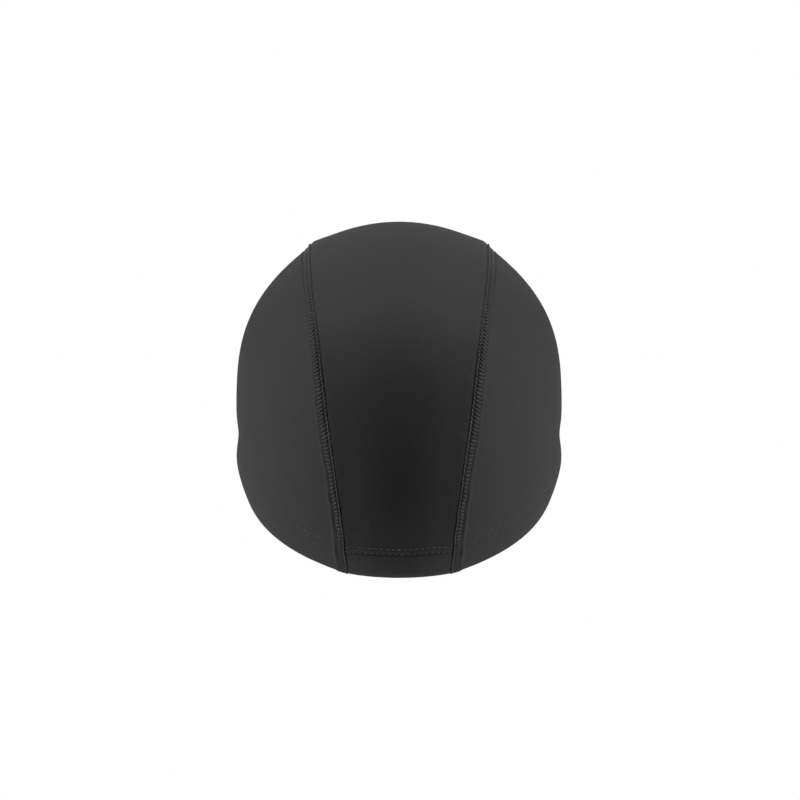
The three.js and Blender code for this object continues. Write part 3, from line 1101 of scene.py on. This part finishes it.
def side_hem_line(height):
    low, _, _ = side_lines(0.0)
    y = np.linspace(low[0, 0], low[-1, 0], 2 * LINE_POINTS)
    z = hem_height(y) + height
    for _ in range(8):
        z = z + height - above_hem(side_point(y, z), side_normal(y, z))
    kept = from_crease(y, z) > 0.4
    return side_point(y, z)[kept], side_normal(y, z)[kept]


def hem_lines(height):
    """Lines of points and outward directions all round the cap at a height above the hem."""
    side, side_out_way = side_hem_line(height + SIDE_HEM_MORE)
    return [
        centre_hem_line(height, FRONT_BRACKET),
        centre_hem_line(height, BACK_BRACKET),
        (side, side_out_way),
        (mirror(side), mirror(side_out_way)),
    ]


def sew_hem_outside():
    meshes = []
    for number, height in enumerate(HEM_ROWS):
        depth = hem_relief(np.array(height), np.array(0.0)) + 0.06
        for part, (points, normals) in enumerate(hem_lines(height)):
            side = int(part > 1)
            over = side * (from_band(points[:, 1], points[:, 2]) < 0)
            lifted = points + normals * (depth + OVER_BAND * over)[:, None]
            middle, along, out = places_on_line(lifted, normals, HEM_STITCH)
            size = sizes(HEM_STITCH * 0.6, HEM_THREAD, HEM_RISES[side][number], 0.28, 4)
            meshes.append(sewn_mesh(middle, along, out, size, 100 + 10 * number + part))
    return thread_piece("hem_stitches", meshes)


def sew_hem_inside():
    """Zigzag of the cover thread between the two rows, on the inner face."""
    meshes = []
    lines = zip(hem_lines(HEM_ROWS[0] - 0.5), hem_lines(HEM_ROWS[1] - 0.6))
    for part, ((low, low_out), (high, high_out)) in enumerate(lines):
        depth = HEM_WALL - 0.05
        first, _, out = places_on_line(low - low_out * depth, low_out, HEM_STITCH / 2)
        second, _, _ = places_on_line(high - high_out * depth, high_out, HEM_STITCH / 2)
        count = min(len(first), len(second))
        ends = np.where((np.arange(count) % 2 == 0)[:, None], first[:count], second[:count])
        step = np.diff(ends, axis=0)
        length = float(np.linalg.norm(step, axis=-1).mean())
        size = sizes(length + 0.3, HEM_THREAD, 0.2, 0.2, 3)
        meshes.append(sewn_mesh(ends[:-1] + step / 2, unit(step), -out[: count - 1], size, 200 + part))
    return thread_piece("hem_inside_threads", meshes)


hem_rows = sew_hem_outside()
hem_cover = sew_hem_inside()

# %% [markdown]
# ## Floor and light
#
# The picture has a pure white ground, and the cap is dark in the middle of the back and evenly grey
# at its sides and crown. Large soft boxes give that: strong ones at the sides, above and below, weak
# ones beyond the cap, and none by the camera, so the back of the head mirrors a dark room. Each box
# is given by the direction it stands in, seen from the cap, and by how bright its face is. The world
# is white to the camera and almost dark to everything else.
#
# The cap is held up far above the floor and throws no shadow on it. The photograph shows the floor
# burnt out to white, so the plain floor here is as bright as the world behind it, and a soft box
# stands for the light that it throws up.

# %% Studio
FLOOR_BELOW = 2.4
FLOOR_SIZE = 16.0
BOX_DISTANCE = 1.8
ROOM_LIGHT = 0.01
LIT_FROM = Vector((0, 0, -0.08))
SIDE_BOXES = [
    {"name": "box", "turn": 85, "lift": 0, "width": 0.9, "height": 1.7, "bright": 3.35},
    {"name": "high_box", "turn": 65, "lift": 45, "width": 1.0, "height": 1.0, "bright": 3.39},
    {"name": "rear_box", "turn": 118, "lift": 0, "width": 0.9, "height": 1.7, "bright": 0.44},
]
MIDDLE_BOXES = [
    {"name": "top_near_box", "turn": 0, "lift": 66, "width": 2.0, "height": 0.8, "bright": 1.49},
    {"name": "top_box", "turn": 0, "lift": 90, "width": 2.0, "height": 0.8, "bright": 1.41},
    {"name": "top_rear_box", "turn": 0, "lift": 125, "width": 2.0, "height": 1.1, "bright": 0.36},
    {"name": "floor_bounce", "turn": 0, "lift": -90, "width": 2.0, "height": 1.6, "bright": 2.63},
]


def add_soft_box(name, turn, lift, width, height, bright):
    """A large lamp in a direction from the cap: turn from the camera's side, lift above level."""
    turned, lifted = math.radians(turn), math.radians(lift)
    way = Vector((math.sin(turned), -math.cos(turned), 0)) * math.cos(lifted)
    way.z = math.sin(lifted)
    data = bpy.data.lights.new(name, "AREA")
    data.shape = "RECTANGLE"
    data.size = width
    data.size_y = height
    data.energy = bright * math.pi * width * height
    box = bpy.data.objects.new(name, data)
    box.location = LIT_FROM + way * BOX_DISTANCE
    box.rotation_mode = "QUATERNION"
    box.rotation_quaternion = way.to_track_quat("Z", "Y")
    box.visible_camera = False
    bpy.context.scene.collection.objects.link(box)


def white_ground():
    world = bpy.data.worlds.new("white_ground")
    world.use_nodes = True
    tree = world.node_tree
    tree.nodes.clear()
    seen = add_node(tree, "ShaderNodeLightPath").outputs["Is Camera Ray"]
    room = add_node(tree, "ShaderNodeBackground", {"Color": (1, 1, 1, 1), "Strength": ROOM_LIGHT})
    white = add_node(tree, "ShaderNodeBackground", {"Color": (1, 1, 1, 1), "Strength": 1.0})
    mixed = add_node(tree, "ShaderNodeMixShader", {0: seen, 1: room.outputs[0], 2: white.outputs[0]})
    add_node(tree, "ShaderNodeOutputWorld", {"Surface": mixed.outputs[0]})
    bpy.context.scene.world = world


def add_floor():
    """A plain floor that the camera sees and that leaves the light on the cap as it is."""
    half = FLOOR_SIZE / 2
    corners = [(-half, -half), (half, -half), (half, half), (-half, half)]
    mesh = bpy.data.meshes.new("floor")
    mesh.from_pydata([(x, y, -FLOOR_BELOW) for x, y in corners], [], [(0, 1, 2, 3)])
    paint = bpy.data.materials.new("white_floor_paint")
    paint.use_nodes = True
    paint.node_tree.nodes.clear()
    glow = add_node(paint.node_tree, "ShaderNodeEmission", {"Color": (1, 1, 1, 1), "Strength": 1.0})
    add_node(paint.node_tree, "ShaderNodeOutputMaterial", {"Surface": glow.outputs[0]})
    mesh.materials.append(paint)
    floor = bpy.data.objects.new("floor", mesh)
    floor.visible_diffuse = False
    floor.visible_glossy = False
    floor.visible_shadow = False
    bpy.context.scene.collection.objects.link(floor)


for box in SIDE_BOXES:
    add_soft_box(**dict(box, name="left_" + box["name"], turn=-box["turn"]))
    add_soft_box(**dict(box, name="right_" + box["name"]))
for box in MIDDLE_BOXES:
    add_soft_box(**box)
white_ground()
add_floor()
bpy.context.scene.view_settings.view_transform = "Standard"
print("soft boxes:", len(bpy.data.lights))

# %% [markdown]
# ## Joining the imported model
#
# Each cloth piece takes the place of its plain solid and rides on the cap's one body. For each panel
# the size that it was cut to is worked out and printed. The cloth is stretched on a head, so the cut is
# smaller than the worn panel, but the turned-up hem adds to it.

# %% Pieces and sheets
STRETCH = 1.15
CENTRE_WORN = (89.2, 357 + 2 * HEM_WIDTH)
SIDE_WORN = (186, 119 + HEM_WIDTH)
CENTRE_HEM = 120
SIDE_HEM = 190


def half_surface(piece):
    """Area of one face of a closed cloth, in m2."""
    return sum(face.area for face in piece.data.polygons) / 2


def declare_sheet(piece, worn, hem_lengths):
    """The size before sewing, from the worn width and length in mm with the hem turned down."""
    cut = (worn[0] / STRETCH * MM, worn[1] / STRETCH * MM)
    area = half_surface(piece) / STRETCH**2 + hem_lengths * HEM_WIDTH * MM**2 / STRETCH
    area = min(area, cut[0] * cut[1])
    print(piece.name, "cut, mm:", [round(v / MM) for v in cut], "area, cm2:", round(area * 1e4))


solids = {
    centre_cloth: "centre_panel",
    left_cloth: "left_side_panel",
    right_cloth: "right_side_panel",
    left_band: "left_seam",
    right_band: "right_seam",
}
for piece, node in solids.items():
    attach(piece, "root")
    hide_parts(node)
threads = (right_ladder, left_ladder, right_inside, left_inside, hem_rows, hem_cover)
for piece in threads:
    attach(piece, "root")

declare_sheet(centre_cloth, CENTRE_WORN, CENTRE_HEM)
declare_sheet(left_cloth, SIDE_WORN, SIDE_HEM)
declare_sheet(right_cloth, SIDE_WORN, SIDE_HEM)
